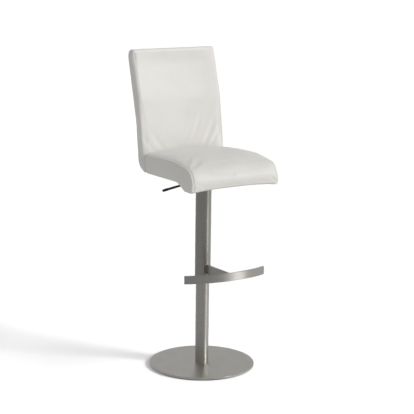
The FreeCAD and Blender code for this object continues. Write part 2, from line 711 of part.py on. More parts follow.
def bent_wire(points, bend):
    """A closed route of straight runs joined by tangent arcs."""
    arcs = []
    count = len(points)
    for i, corner in enumerate(points):
        to_last = (points[i - 1] - corner).normalize()
        to_next = (points[(i + 1) % count] - corner).normalize()
        opening = to_last.getAngle(to_next)
        turn = math.pi - opening
        radius = bend if turn > 0.6 else 4 * bend
        reach = radius * math.tan(turn / 2)
        depth = radius / math.cos(turn / 2) - radius
        middle = corner + (to_last + to_next).normalize() * depth
        arcs.append(Part.Arc(corner + to_last * reach, middle, corner + to_next * reach))
    edges = []
    for i, arc in enumerate(arcs):
        following = arcs[(i + 1) % count]
        edges.append(arc.toShape())
        edges.append(Part.LineSegment(arc.EndPoint, following.StartPoint).toShape())
    return Part.Wire(edges)


def make_frame():
    """One welded loop of steel tube round the seat and up into the back."""
    level = value("frame_level")
    half = value("frame_half_width")
    side = [(value("frame_front"), level), (160, level), (179, 925), (194, 1052), (262, 1318)]
    right = [FreeCAD.Vector(half, y, z) for y, z in side]
    left = [FreeCAD.Vector(-half, y, z) for y, z in reversed(side)]
    route = doc.addObject("Part::Feature", "frame_route")
    route.Shape = bent_wire(right + left, value("frame_bend"))

    def swept(name, extra):
        start = route.Shape.Edges[1]
        middle = start.valueAt((start.FirstParameter + start.LastParameter) / 2)
        across = FreeCAD.Rotation(FreeCAD.Vector(0, 0, 1), start.tangentAt(start.FirstParameter))
        ring = bind(doc.addObject("Part::Circle", name + "_section"), Radius=f"frame_tube_radius + {extra}")
        ring.Placement = FreeCAD.Placement(middle, across)
        tube_sweep = doc.addObject("Part::Sweep", name)
        tube_sweep.Sections = [ring]
        tube_sweep.Spine = (route, [])
        tube_sweep.Solid = True
        tube_sweep.Frenet = False
        return tube_sweep

    loop = swept("frame_loop", 0)
    loop.Label = "frame_loop"
    clearance = swept("frame_clearance", "weld_gap")

    strap_top = "frame_level + frame_tube_radius + weld_gap"
    seat_straps = [block(f"seat_strap_{i}", "2 * frame_half_width", "strap_width", "strap_thickness",
                         "-frame_half_width", f"{y} - strap_width / 2", strap_top)
                   for i, y in enumerate((-140, -80, -20, 40, 100))]
    back_straps = []
    for i, z in enumerate((985, 1070, 1155, 1240)):
        strap = block(f"back_strap_{i}", "2 * frame_half_width", "strap_thickness", "strap_width",
                      0, 0, 0)
        foot = z - value("strap_width") / 2
        rise = back_middle(z + 20) - back_middle(z - 20)
        lean = math.atan2(rise, 40)
        away = value("frame_tube_radius + strap_thickness + 0.8") / math.cos(lean)
        put(strap, "-frame_half_width", back_middle(foot) - away, foot,
            FreeCAD.Rotation(FreeCAD.Vector(1, 0, 0), -math.degrees(lean)))
        back_straps.append(strap)
    keep(loop, group("seat_webbing", seat_straps), group("back_webbing", back_straps))
    return clearance, seat_straps, back_straps


def make_cushions(clearance, seat_straps, back_straps):
    """Moulded foam on the frame, under sewn leather covers, and the panel that closes the seat."""
    seat_form = cushion("seat_form", SEAT_OUTLINE, "seat_half_width")
    back_form = cushion("back_form", BACK_OUTLINE, "back_half_width")
    doc.recompute()
    seat_core = shrunk("seat_core", seat_form, "leather")
    back_core = shrunk("back_core", back_form, "leather")

    # under the webbing the seat is hollow, for the rails and the mechanism
    hollow = block("seat_hollow", "2 * frame_half_width - 20", 250, 44,
                   "-frame_half_width + 10", -140, "seat_bottom - 18")
    rail_space = [block(f"rail_space_{i}", "2 * frame_half_width + 0.2", "rail_width + 0.2", 8,
                        "-frame_half_width - 0.1", f"{sign} * rail_offset - rail_width / 2 - 0.1",
                        "rail_bottom - 1")
                  for i, sign in enumerate((-1, 1))]
    opening = block("cover_opening", "2 * frame_half_width - 20", 212, 20,
                    "-frame_half_width + 10", -108, "seat_bottom - 10")

    seat_skin = cut("seat_skin", seat_form, seat_core)
    keep(cut("seat_cover", seat_skin, fuse("seat_cover_tools", [clearance, opening])))
    seat_foam_tools = fuse("seat_foam_tools", [clearance, hollow] + rail_space + seat_straps)
    keep(cut("seat_foam", seat_core, seat_foam_tools))
    back_skin = cut("back_skin", back_form, back_core)
    keep(cut("back_cover", back_skin, clearance))
    keep(cut("back_foam", back_core, fuse("back_foam_tools", [clearance] + back_straps)))

    sheet_size = block("panel_sheet", "2 * frame_half_width + 4", 226, "panel_thickness",
                       "-frame_half_width - 2", -116, "seat_bottom - panel_thickness")
    window = block("panel_window", "2 * pan_flange_reach + 2", "2 * pan_half_length + 2", 10,
                   "-pan_flange_reach - 1", "-pan_half_length - 1", "seat_bottom - 5")
    keep(cut("underside_panel", sheet_size, window))


# ---------------------------------------------------------------- build, check and write

base_screw_places = make_base()
make_lower_tube(base_screw_places)
make_gas_rod()
make_gas_cylinder()
make_mechanism(make_sleeve())
make_footrest()
make_lever()
make_cushions(*make_frame())
doc.recompute()

for thing in doc.Objects:
    if "Invalid" in thing.State or "Error" in thing.State:
        raise SystemExit(f"{thing.Name} failed: {thing.State}")
for thing in nodes:
    if thing.Shape.isNull() or not thing.Shape.isValid() or not thing.Shape.Solids:
        raise SystemExit(f"{thing.Label} has no valid solid")
for thing in nodes:
    thing.Shape.exportStep(f"parts/{thing.Label}.step")
print(len(nodes), "nodes written")
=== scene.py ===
"""Looks of an upholstered bar stool: leather cushions, brushed stainless column, base and footrest.

Metres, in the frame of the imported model: +Z up, origin at the middle of the base on the floor,
the sitter faces -Y and the height lever is towards -X.
"""
import json
import math

import bmesh
import bpy
from mathutils import Matrix, Vector
from mathutils.bvhtree import BVHTree


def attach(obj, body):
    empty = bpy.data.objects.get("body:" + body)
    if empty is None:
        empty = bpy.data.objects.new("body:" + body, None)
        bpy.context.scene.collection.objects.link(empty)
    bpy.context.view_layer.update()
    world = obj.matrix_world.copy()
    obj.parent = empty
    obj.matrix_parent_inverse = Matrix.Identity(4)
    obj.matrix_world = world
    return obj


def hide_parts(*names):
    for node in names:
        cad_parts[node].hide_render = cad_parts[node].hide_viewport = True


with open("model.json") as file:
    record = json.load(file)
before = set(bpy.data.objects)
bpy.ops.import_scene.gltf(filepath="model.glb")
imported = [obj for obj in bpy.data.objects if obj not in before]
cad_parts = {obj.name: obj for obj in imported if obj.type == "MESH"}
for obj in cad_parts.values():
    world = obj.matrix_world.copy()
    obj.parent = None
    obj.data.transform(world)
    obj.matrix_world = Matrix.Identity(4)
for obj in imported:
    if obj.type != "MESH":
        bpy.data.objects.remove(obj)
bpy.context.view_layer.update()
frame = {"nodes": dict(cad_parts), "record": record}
nodes = frame["nodes"]
MM = 0.001


# ---------------------------------------------------------------- colours and node helpers

def srgb(code, alpha=1.0):
    """A hex colour as the linear values that shaders take."""
    parts = [int(code[i:i + 2], 16) / 255 for i in (1, 3, 5)]
    linear = [c / 12.92 if c <= 0.04045 else ((c + 0.055) / 1.055) ** 2.4 for c in parts]
    return (*linear, alpha)


def add(tree, kind, settings=(), values=(), links=()):
    """A shader node: settings are its own properties, values its inputs, links its incoming wires."""
    node = tree.nodes.new(kind)
    for name, setting in dict(settings).items():
        setattr(node, name, setting)
    for name, number in dict(values).items():
        node.inputs[name].default_value = number
    for name, source in dict(links).items():
        tree.links.new(source, node.inputs[name])
    return node


def new_material(name):
    """A material with only its output; returns the material and its tree."""
    material = bpy.data.materials.new(name)
    material.use_nodes = True
    material.node_tree.nodes.clear()
    return material, material.node_tree


def finish_material(material, surface):
    tree = material.node_tree
    add(tree, "ShaderNodeOutputMaterial", links={"Surface": surface.outputs[0]})
    return material


def ramp(tree, source, stops):
    """A colour ramp over a value; stops are (position, colour) pairs."""
    node = add(tree, "ShaderNodeValToRGB", links={"Fac": source})
    elements = node.color_ramp.elements
    while len(elements) < len(stops):
        elements.new(0.5)
    for element, (position, colour) in zip(elements, stops):
        element.position = position
        element.color = colour
    return node


def grey(level):
    return (level, level, level, 1.0)


def per_mm(size):
    """Texture scale that puts one feature in a given number of millimetres."""
    return 1000.0 / size


# ---------------------------------------------------------------- materials

def smooth_leather(name, tone, shade):
    """Corrected-grain cowhide, drummed soft: a satin face with a fine pebble and slow unevenness."""
    material, tree = new_material(name)
    place = add(tree, "ShaderNodeTexCoord").outputs["Object"]
    clouds = add(tree, "ShaderNodeTexNoise", values={"Scale": per_mm(90), "Detail": 3.0, "Roughness": 0.55},
                 links={"Vector": place})
    tint = ramp(tree, clouds.outputs["Fac"], [(0.30, srgb(shade)), (0.62, srgb(tone))])
    # pebbles of the grain are about 0.8 mm; drawn at 1.6 mm so that they show
    pebble = add(tree, "ShaderNodeTexVoronoi", {"feature": "SMOOTH_F1"},
                 {"Scale": per_mm(1.6), "Smoothness": 0.6}, {"Vector": place})
    crinkle = add(tree, "ShaderNodeTexNoise", values={"Scale": per_mm(7), "Detail": 5.0, "Roughness": 0.6},
                  links={"Vector": place})
    slack = add(tree, "ShaderNodeTexNoise", values={"Scale": per_mm(38), "Detail": 2.0, "Distortion": 0.4},
                links={"Vector": place})
    gloss = add(tree, "ShaderNodeMapRange",
                values={"From Min": 0.3, "From Max": 0.7, "To Min": 0.40, "To Max": 0.52},
                links={"Value": crinkle.outputs["Fac"]})
    deep = add(tree, "ShaderNodeBump", values={"Strength": 0.1, "Distance": 1.8 * MM},
               links={"Height": slack.outputs["Fac"]})
    middle = add(tree, "ShaderNodeBump", values={"Strength": 0.14, "Distance": 0.35 * MM},
                 links={"Height": crinkle.outputs["Fac"], "Normal": deep.outputs["Normal"]})
    fine = add(tree, "ShaderNodeBump", values={"Strength": 0.22, "Distance": 0.12 * MM},
               links={"Height": pebble.outputs["Distance"], "Normal": middle.outputs["Normal"]})
    skin = add(tree, "ShaderNodeBsdfPrincipled",
               values={"IOR": 1.46, "Sheen Weight": 0.06, "Sheen Roughness": 0.5},
               links={"Base Color": tint.outputs["Color"], "Roughness": gloss.outputs["Result"],
                      "Normal": fine.outputs["Normal"]})
    return finish_material(material, skin)


def brushed_stainless(name, stretch, turn, tones, rough, depth=0.05, smear=0.75):
    """Stainless steel brushed with a fine belt: bright metal broken up along hair lines.

    stretch is how many millimetres a line runs along each axis; the lines are 0.25 mm apart,
    drawn at 0.7 mm so that they show. turn is the axis they run round, tones their dark and light
    metal, rough the lowest and highest roughness, smear how far a highlight spreads across them.
    """
    material, tree = new_material(name)
    place = add(tree, "ShaderNodeTexCoord").outputs["Object"]
    squeezed = add(tree, "ShaderNodeMapping", values={"Scale": [per_mm(s) for s in stretch]},
                   links={"Vector": place})
    hair = add(tree, "ShaderNodeTexNoise", values={"Scale": 1.0, "Detail": 3.0, "Roughness": 0.6},
               links={"Vector": squeezed.outputs["Vector"]})
    wiped = add(tree, "ShaderNodeTexNoise", values={"Scale": per_mm(60), "Detail": 3.0},
                links={"Vector": place})
    tint = ramp(tree, hair.outputs["Fac"], [(0.30, srgb(tones[0])), (0.70, srgb(tones[1]))])
    both = add(tree, "ShaderNodeMath", {"operation": "MULTIPLY_ADD"}, {1: 0.6},
               {0: hair.outputs["Fac"]})
    tree.links.new(wiped.outputs["Fac"], both.inputs[2])
    gloss = add(tree, "ShaderNodeMapRange",
                values={"From Min": 0.5, "From Max": 1.1, "To Min": rough[0], "To Max": rough[1]},
                links={"Value": both.outputs["Value"]})
    bump = add(tree, "ShaderNodeBump", values={"Strength": depth, "Distance": 0.05 * MM},
               links={"Height": hair.outputs["Fac"]})
    along = add(tree, "ShaderNodeTangent", {"direction_type": "RADIAL", "axis": turn})
    metal = add(tree, "ShaderNodeBsdfPrincipled",
                values={"Metallic": 1.0, "Anisotropic": smear, "Anisotropic Rotation": 0.25},
                links={"Base Color": tint.outputs["Color"], "Roughness": gloss.outputs["Result"],
                       "Normal": bump.outputs["Normal"], "Tangent": along.outputs["Tangent"]})
    return finish_material(material, metal)


def plated_steel(name, tone, rough, patch_mm=6.0):
    """Zinc-plated or ground steel: metal with slightly cloudy plating."""
    material, tree = new_material(name)
    place = add(tree, "ShaderNodeTexCoord").outputs["Object"]
    cloud = add(tree, "ShaderNodeTexNoise", values={"Scale": per_mm(patch_mm), "Detail": 4.0},
                links={"Vector": place})
    tint = ramp(tree, cloud.outputs["Fac"], [(0.35, srgb("#8E8F90")), (0.65, srgb(tone))])
    gloss = add(tree, "ShaderNodeMapRange", values={"To Min": rough, "To Max": rough + 0.12},
                links={"Value": cloud.outputs["Fac"]})
    metal = add(tree, "ShaderNodeBsdfPrincipled", values={"Metallic": 1.0},
                links={"Base Color": tint.outputs["Color"], "Roughness": gloss.outputs["Result"]})
    return finish_material(material, metal)


def coated(name, tone, lift, rough, grain_mm, depth_mm, ior=1.5):
    """Powder coat, moulded nylon or rubber: one dark colour with an orange-peel or spark-eroded skin."""
    material, tree = new_material(name)
    place = add(tree, "ShaderNodeTexCoord").outputs["Object"]
    skin = add(tree, "ShaderNodeTexNoise", values={"Scale": per_mm(grain_mm), "Detail": 4.0, "Roughness": 0.6},
               links={"Vector": place})
    dust = add(tree, "ShaderNodeTexNoise", values={"Scale": per_mm(30), "Detail": 3.0}, links={"Vector": place})
    tint = ramp(tree, dust.outputs["Fac"], [(0.35, srgb(tone)), (0.75, srgb(lift))])
    gloss = add(tree, "ShaderNodeMapRange", values={"To Min": rough - 0.06, "To Max": rough + 0.08},
                links={"Value": skin.outputs["Fac"]})
    bump = add(tree, "ShaderNodeBump", values={"Strength": 0.3, "Distance": depth_mm * MM},
               links={"Height": skin.outputs["Fac"]})
    coat = add(tree, "ShaderNodeBsdfPrincipled", values={"IOR": ior},
               links={"Base Color": tint.outputs["Color"], "Roughness": gloss.outputs["Result"],
                      "Normal": bump.outputs["Normal"]})
    return finish_material(material, coat)


def woven(name, tone, lift, thread_mm):
    """Cloth or elastic webbing: threads crossing at right angles."""
    material, tree = new_material(name)
    place = add(tree, "ShaderNodeTexCoord").outputs["Object"]
    bands = {}
    for axis in "XY":
        bands[axis] = add(tree, "ShaderNodeTexWave", {"bands_direction": axis},
                          {"Scale": per_mm(thread_mm) / 6.283, "Distortion": 0.6, "Detail": 1.0},
                          {"Vector": place})
    weave = add(tree, "ShaderNodeMath", {"operation": "MULTIPLY"},
                links={0: bands["X"].outputs["Fac"], 1: bands["Y"].outputs["Fac"]})
    tint = ramp(tree, weave.outputs["Value"], [(0.1, srgb(tone)), (0.9, srgb(lift))])
    bump = add(tree, "ShaderNodeBump", values={"Strength": 0.5, "Distance": 0.3 * MM},
               links={"Height": weave.outputs["Value"]})
    cloth = add(tree, "ShaderNodeBsdfPrincipled", values={"Roughness": 0.92, "Sheen Weight": 0.15},
                links={"Base Color": tint.outputs["Color"], "Normal": bump.outputs["Normal"]})
    return finish_material(material, cloth)


LEATHER = smooth_leather("white_cowhide_leather", "#F0EEE9", "#ECEAE4")
THREAD = woven("bonded_nylon_thread", "#CFCCC5", "#E2DFD9", 0.4)
# One stainless steel in four tones, set part by part to how bright each part looks under this light rather than
# to any difference in the steel: the column's tones are painted darker (painted shade), the base sheet's
# painted lighter (painted light), and the inner tube's and the bar's lie between.
COLUMN_STEEL = brushed_stainless("belt_brushed_stainless_tube", (40, 40, 0.7), "Z", ("#908E89", "#A19F9A"),
                                 (0.27, 0.36))
TUBE_STEEL = brushed_stainless("belt_brushed_stainless_inner_tube", (40, 40, 0.7), "Z", ("#A5A39E", "#B8B6B1"),
                               (0.27, 0.36))
BASE_STEEL = brushed_stainless("line_brushed_stainless_sheet", (0.7, 60, 4), "X", ("#B7B4AE", "#CCC9C3"),
                               (0.30, 0.40), depth=0.03)
BAR_STEEL = brushed_stainless("line_brushed_stainless_bar", (60, 60, 0.7), "Z", ("#A19E99", "#B3B0AB"),
                              (0.32, 0.38), smear=0.96)
ZINC = plated_steel("zinc_plated_steel", "#B4B5B6", 0.34)
GROUND = plated_steel("ground_bearing_steel", "#C9CACB", 0.14, 12.0)
BLACK_COAT = coated("black_powder_coated_steel", "#1B1B1C", "#262627", 0.42, 1.2, 0.06)
RAW_PLATE = coated("hot_rolled_steel_plate", "#3A3A3C", "#4C4B4A", 0.55, 2.5, 0.08)
NYLON = coated("black_moulded_nylon", "#1A1A1B", "#222223", 0.5, 0.8, 0.04)
RUBBER = coated("black_rubber", "#161616", "#202020", 0.72, 0.9, 0.05)
FOAM = coated("cut_polyurethane_foam", "#D9CFA8", "#E3DABA", 0.9, 1.0, 0.5)
WEBBING = woven("elastic_webbing", "#1C1C1E", "#3A3A3D", 1.6)
LINING = woven("black_spunbond_lining", "#121213", "#1F1F21", 0.9)

SLOT_FINISH = {
    "white_leather": LEATHER, "brushed_stainless": COLUMN_STEEL, "bright_steel": GROUND,
    "zinc_steel": ZINC, "black_steel": BLACK_COAT, "weight_steel": RAW_PLATE, "black_nylon": NYLON,
    "black_rubber": RUBBER, "foam": FOAM, "webbing": WEBBING, "lining_cloth": LINING,
}
# parts that take a tone of their own: the same stainless steel painted lighter or darker for the light that
# falls on it
NODE_FINISH = {
    "base_cover": BASE_STEEL, "column_tube": TUBE_STEEL,
    "footrest_bar": BAR_STEEL, "footrest_arm": BAR_STEEL,
}


def paint(obj, material):
    obj.data.materials.clear()
    obj.data.materials.append(material)


def paint_frame():
    """Every carried-over node takes the finish of its material slot, or one of its own."""
    for part in frame["record"]["subparts"]:
        name = part["node"]
        paint(nodes[name], NODE_FINISH.get(name, SLOT_FINISH[part["material_slot"]]))


# ---------------------------------------------------------------- outlines

def rounded_chain(corners, step=0.002):
    """Points along straight runs between (y, z, radius) corners in mm, each corner an arc."""
    places = [Vector((y, z)) * MM for y, z, radius in corners]
    points = [places[0]]
    for i in range(1, len(corners) - 1):
        before = (places[i - 1] - places[i]).normalized()
        after = (places[i + 1] - places[i]).normalized()
        turn = math.pi - before.angle(after)
        room = 0.49 * min((places[i - 1] - places[i]).length, (places[i + 1] - places[i]).length)
        radius = min(corners[i][2] * MM, room / math.tan(turn / 2))
        reach = radius * math.tan(turn / 2)
        start = places[i] + before * reach
        end = places[i] + after * reach
        count = max(2, int(radius * turn / step))
        for n in range(count + 1):
            f = n / count
            # a quadratic curve with the corner as its handle is close to the arc
            points.append((1 - f) ** 2 * start + 2 * f * (1 - f) * places[i] + f ** 2 * end)
    points.append(places[-1])
    return points


class Chain:
    """A line in the side plane that can be read at any share of its length."""

    def __init__(self, corners):
        self.points = rounded_chain(corners)
        self.at = [0.0]
        for a, b in zip(self.points, self.points[1:]):
            self.at.append(self.at[-1] + (b - a).length)
        self.length = self.at[-1]

    def point(self, share):
        goal = max(0.0, min(1.0, share)) * self.length
        low, high = 0, len(self.at) - 1
        while high - low > 1:
            middle = (low + high) // 2
            if self.at[middle] <= goal:
                low = middle
            else:
                high = middle
        run = self.at[high] - self.at[low]
        return self.points[low].lerp(self.points[high], (goal - self.at[low]) / run if run else 0.0)

    def normal(self, share, reach=0.012):
        """Unit normal to the left of the chain's direction, smoothed over a short reach."""
        step = reach / self.length
        along = self.point(share + step) - self.point(share - step)
        return Vector((-along.y, along.x)).normalized()


def smooth(low, high, x):
    t = max(0.0, min(1.0, (x - low) / (high - low)))
    return t * t * (3 - 2 * t)


def evenly(low, high, count):
    return [low + (high - low) * i / count for i in range(count + 1)]


def across(half_width, edge_step, edge_count, middle_count):
    """Shares -1 to 1 of a half width: even steps of edge_step near both edges, coarser between."""
    edge = [1 - edge_step * i / half_width for i in range(edge_count)]
    inner = 1 - edge_step * edge_count / half_width
    return [-share for share in edge] + evenly(-inner, inner, middle_count) + edge[::-1]


def lattice(name, columns, rows, layers, place):
    """The skin of a box with grid lines at the given shares, each point put by place(u, v, w).

    u runs from -1 to 1 across, v and w from 0 to 1. Also returns the shares of each vertex in turn.
    """
    mesh = bpy.data.meshes.new(name)
    skin = bmesh.new()
    made = {}

    def vertex(i, j, k):
        if (i, j, k) not in made:
            made[i, j, k] = skin.verts.new(place(columns[i], rows[j], layers[k]))
        return made[i, j, k]

    def face(corners):
        skin.faces.new([vertex(*c) for c in corners])

    last_column, last_row, last_layer = len(columns) - 1, len(rows) - 1, len(layers) - 1
    for i in range(last_column):
        for j in range(last_row):
            for k in (0, last_layer):
                face([(i, j, k), (i + 1, j, k), (i + 1, j + 1, k), (i, j + 1, k)])
        for k in range(last_layer):
            for j in (0, last_row):
                face([(i, j, k), (i + 1, j, k), (i + 1, j, k + 1), (i, j, k + 1)])
    for j in range(last_row):
        for k in range(last_layer):
            for i in (0, last_column):
                face([(i, j, k), (i, j + 1, k), (i, j + 1, k + 1), (i, j, k + 1)])
    bmesh.ops.recalc_face_normals(skin, faces=skin.faces)
    skin.to_mesh(mesh)
    skin.free()
    obj = bpy.data.objects.new(name, mesh)
    bpy.context.scene.collection.objects.link(obj)
    return obj, [(columns[i], rows[j], layers[k]) for i, j, k in made]


def rolled(a, b, radius, depth=None):
    """Distances in from two faces, moved so that the edge between the faces is round.

    The round reaches radius along the first distance, and depth or else radius along the second.
    """
    depth = depth or radius
    if a >= radius or b >= depth:
        return a, b
    share_a, share_b = 1 - a / radius, 1 - b / depth
    pull = max(share_a, share_b) / math.hypot(share_a, share_b)
    return radius * (1 - share_a * pull), depth * (1 - share_b * pull)


def hump(distance, half_width):
    """A soft bump, one at its middle and nothing a little past half_width."""
    return math.exp(-(distance / half_width) ** 2)


# ---------------------------------------------------------------- seat

SEAT_HALF = 214.0
SEAT_TOP = Chain([(136, 912, 0), (0, 919, 400), (-100, 919, 150), (-213, 899, 48),
                  (-241, 848, 60), (-238, 815, 0)])
SEAT_UNDER = Chain([(121, 840, 0), (-126, 840, 60), (-180, 811, 30), (-231, 809, 0)])
SEAT_SEAM_IN = 8.0          # the side seam lies on the top panel, this far in from the side
SEAM_DEPTH = 3.0
SEAM_HALF_WIDTH = 1.6
SEAT_LENGTH = SEAT_TOP.length / MM
SEAT_CROWN = 17.0           # how far the middle stands above the side seams, on the seat and on its nose
NOSE_CROWN = 9.0
LIP_DRAWN_UP = 10.0         # the front's lower edge is drawn up between its corners
SIDE_BULGE = 4.0
UNDERSIDE_ROUND = 5.0       # how far the skin rolls over at each edge
TOP_SIDE_ROUND = 10.0
REAR_SIDE_ROUND = 6.0
TOP_REAR_ROUND = 8.0
NOSE_SIDE_ROUND = 16.0
CORNER_SLOT = 11.0          # room left between seat and back at each rear corner
SLOT_REACH = (16.0, 30.0)   # the slot starts to close this far in from the side, and is closed this far in
PRESSED_BACK = (3.0, 12.0)  # how far the rear is pressed into the back, at the underside and on top
PRESS_REACH = 70.0          # and over what distance that fades out towards the front

# the hollow in the underside that takes the rails, the bolts and the webbing
CAVITY_HALF = 163.0
CAVITY_FRONT = -110.0
CAVITY_REAR = 104.0
CAVITY_DEPTH = 29.0
CAVITY_EDGE = 5.0

# pulls in the leather at the nose's corners: (x, share along) to (x, share along), half width and depth in mm
SEAT_PUCKERS = [
    ((168, 0.925), (206, 0.985), 5, 1.6),
    ((190, 0.875), (211, 0.955), 4, 1.9),
    ((-150, 0.97), (-196, 0.93), 6, 0.9),
    ((120, 0.985), (150, 0.965), 7, 1.0),
]
SEAT_PULLS = [((x1, share1 * SEAT_LENGTH), (x2, share2 * SEAT_LENGTH), half_width, depth)
              for (x1, share1), (x2, share2), half_width, depth in SEAT_PUCKERS]


def crease(x, y, creases):
    """How far a set of soft folds presses in at a place, in mm: valleys with a ridge along one side."""
    total = 0.0
    for start, end, half_width, depth in creases:
        a = Vector(start)
        along = Vector(end) - a
        t = (Vector((x, y)) - a).dot(along) / along.length_squared
        if not -0.25 < t < 1.25:
            continue
        away = Vector((x, y)) - a - along * t
        side = math.copysign(away.length, away.x * along.y - away.y * along.x)
        fade = smooth(-0.25, 0.3, t) * (1 - smooth(0.85, 1.25, t))
        ridge = hump(side - 1.7 * half_width, 1.2 * half_width)
        total += depth * fade * (hump(side, half_width) - 0.55 * ridge)
    return total


def domed(edge, power):
    """Height of a filled panel, 1 in the middle and 0 at its sides; a higher power is flatter."""
    return math.sqrt(max(0.0, 1 - edge ** power))


def seat_point(u, v, w):
    """v runs from the rear over the top to the nose; w from the underside to the top."""
    thick = (SEAT_TOP.point(v) - SEAT_UNDER.point(v)).length / MM
    side_in = SEAT_HALF * (1 - abs(u))
    rear_in = SEAT_LENGTH * v
    top_in = thick * (1 - w)
    at_seam = hump(side_in - SEAT_SEAM_IN, SEAM_HALF_WIDTH) * smooth(0.0, 0.06, v) if w == 1.0 else 0.0
    if w == 0.0:
        side_in, _ = rolled(side_in, 0.0, UNDERSIDE_ROUND)
    side_in, top_in = rolled(side_in, top_in, min(TOP_SIDE_ROUND, thick / 2))
    side_in, rear_in = rolled(side_in, rear_in, REAR_SIDE_ROUND)
    top_in, rear_in = rolled(top_in, rear_in, TOP_REAR_ROUND)
    # seat and back press together in the middle; at each rear corner a slot is left between them
    meets = smooth(*SLOT_REACH, side_in)
    rear_in += CORNER_SLOT * (1 - meets) * (1 - v) ** 3
    side_in, front_in = rolled(side_in, SEAT_LENGTH - rear_in, NOSE_SIDE_ROUND)
    edge = 1 - side_in / SEAT_HALF
    v = 1 - front_in / SEAT_LENGTH
    w = 1 - top_in / thick
    nose = smooth(0.66, 0.86, v)
    crown = SEAT_CROWN * (1 - nose) * domed(edge, 2.2) + NOSE_CROWN * nose * domed(edge, 6)
    crown *= 1 - 0.9 * smooth(0.84, 1.0, v)
    pulls = crease(math.copysign(edge * SEAT_HALF, u), v * SEAT_LENGTH, SEAT_PULLS) * smooth(0.9, 1.0, w)
    press = SEAM_DEPTH * at_seam + pulls
    top = SEAT_TOP.point(v) - SEAT_TOP.normal(v) * (crown - press) * MM
    under = SEAT_UNDER.point(v)
    spot = under.lerp(top, w)
    pressed_back = PRESSED_BACK[0] + (PRESSED_BACK[1] - PRESSED_BACK[0]) * w
    spot.x += pressed_back * meets * max(0.0, 1 - rear_in / PRESS_REACH) * MM
    lip = max(smooth(0.84, 1.0, v), smooth(0.78, 1.0, v) * (1 - w))
    spot.y += LIP_DRAWN_UP * MM * (1 - edge ** 3) * lip
    x = SEAT_HALF * edge
    bulge = SIDE_BULGE * math.sin(math.pi * w) if abs(u) > 0.999 else 0.0
    if w == 0.0 and x < CAVITY_HALF:
        y = spot.x / MM
        inside = smooth(CAVITY_REAR + CAVITY_EDGE, CAVITY_REAR, y)
        inside *= smooth(CAVITY_FRONT - CAVITY_EDGE, CAVITY_FRONT, y)
        spot.y += CAVITY_DEPTH * inside * smooth(CAVITY_HALF, CAVITY_HALF - CAVITY_EDGE, x) * MM
    return Vector((math.copysign(x + bulge, u) * MM, spot.x, spot.y))


# ---------------------------------------------------------------- back

BACK_HALF = 206.5           # at the top; the middle swells BACK_SWELL wider each side
BACK_SWELL = 8.0
BEVEL_WIDE = 8.0            # a soft bevel runs between front panel and gusset
BEVEL_DEEP = 11.0
REAR_DRAWN_IN = 15.0        # the rear panel curves in to the gusset by this much
REAR_CROWN = 3.0
BOLSTER_TOP = 2.0           # how far the front stands proud, along the top and further down
BOLSTER = 8.0
DISH = 13.5                 # and how far its middle is hollowed for the sitter's back
FRONT_SIDE_ROUND = 5.0      # how far the skin rolls over at each edge; deeper along the gusset
FRONT_SIDE_DEPTH = 7.0
BACK_SIDE_ROUND = 6.0
TOP_CORNER_ROUND = 11.0
REAR_TOP_ROUND = 13.0
FRONT_TOP_ROUND = 6.0
THIN_SHARE = 0.45           # no roll takes more than this share of the thickness
FOLD_DEPTH = 1.8            # the front's side seam presses in, and draws the side in
FOLD_DRAWN_IN = 1.2
GUSSET_SEAM_DEPTH = 2.2
BACK_FRONT = Chain([(243, 1346, 0), (235, 1300, 200), (189, 1136, 250), (157, 915, 120),
                    (143, 864, 60), (126, 841, 0)])
BACK_REAR = Chain([(274, 1346, 0), (281, 1316, 30), (211, 1042, 300), (191, 862, 55),
                   (151, 838, 45), (132, 838, 0)])
BACK_LENGTH = BACK_REAR.length / MM
GUSSET_SEAM = 0.52          # the seam in the gusset runs at this share of the way from rear to front

# soft folds low on the front, as (x, z) to (x, z), half width and depth in mm
BACK_FOLDS = [
    ((92, 1050), (40, 940), 9, 2.0),
    ((162, 1040), (104, 930), 10, 2.4),
    ((196, 1015), (128, 912), 9, 2.6),
    ((-176, 1035), (-98, 928), 11, 1.2),
    ((-200, 992), (-150, 925), 9, 1.1),
]


